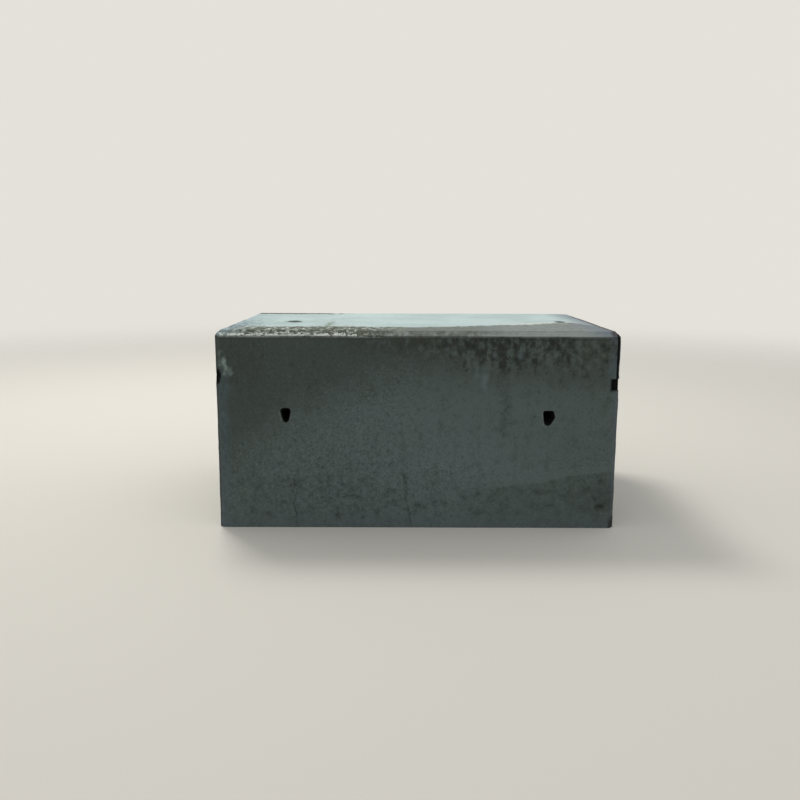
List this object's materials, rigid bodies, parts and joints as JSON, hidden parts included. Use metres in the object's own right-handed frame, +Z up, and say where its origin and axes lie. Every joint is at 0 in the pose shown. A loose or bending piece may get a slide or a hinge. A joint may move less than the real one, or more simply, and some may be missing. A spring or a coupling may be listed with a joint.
{
  "type": "precast concrete block",
  "caption": "Heavy weathered precast concrete block with tie holes from front to back and lifting sockets in its top, for stacking, ballast or barriers.",
  "frame": {"origin": "centre of the underside", "axes": "+X along the block's length, -Y out of the weathered front face, +Z up out of the trowelled top"},
  "size_m": [1.2, 0.8, 0.6],
  "materials": {
    "concrete": "weathered cast concrete, dark grey-green stained sides, pale trowelled top"
  },
  "bodies": {
    "root": {"block": "concrete"}
  },
  "joints": []
}
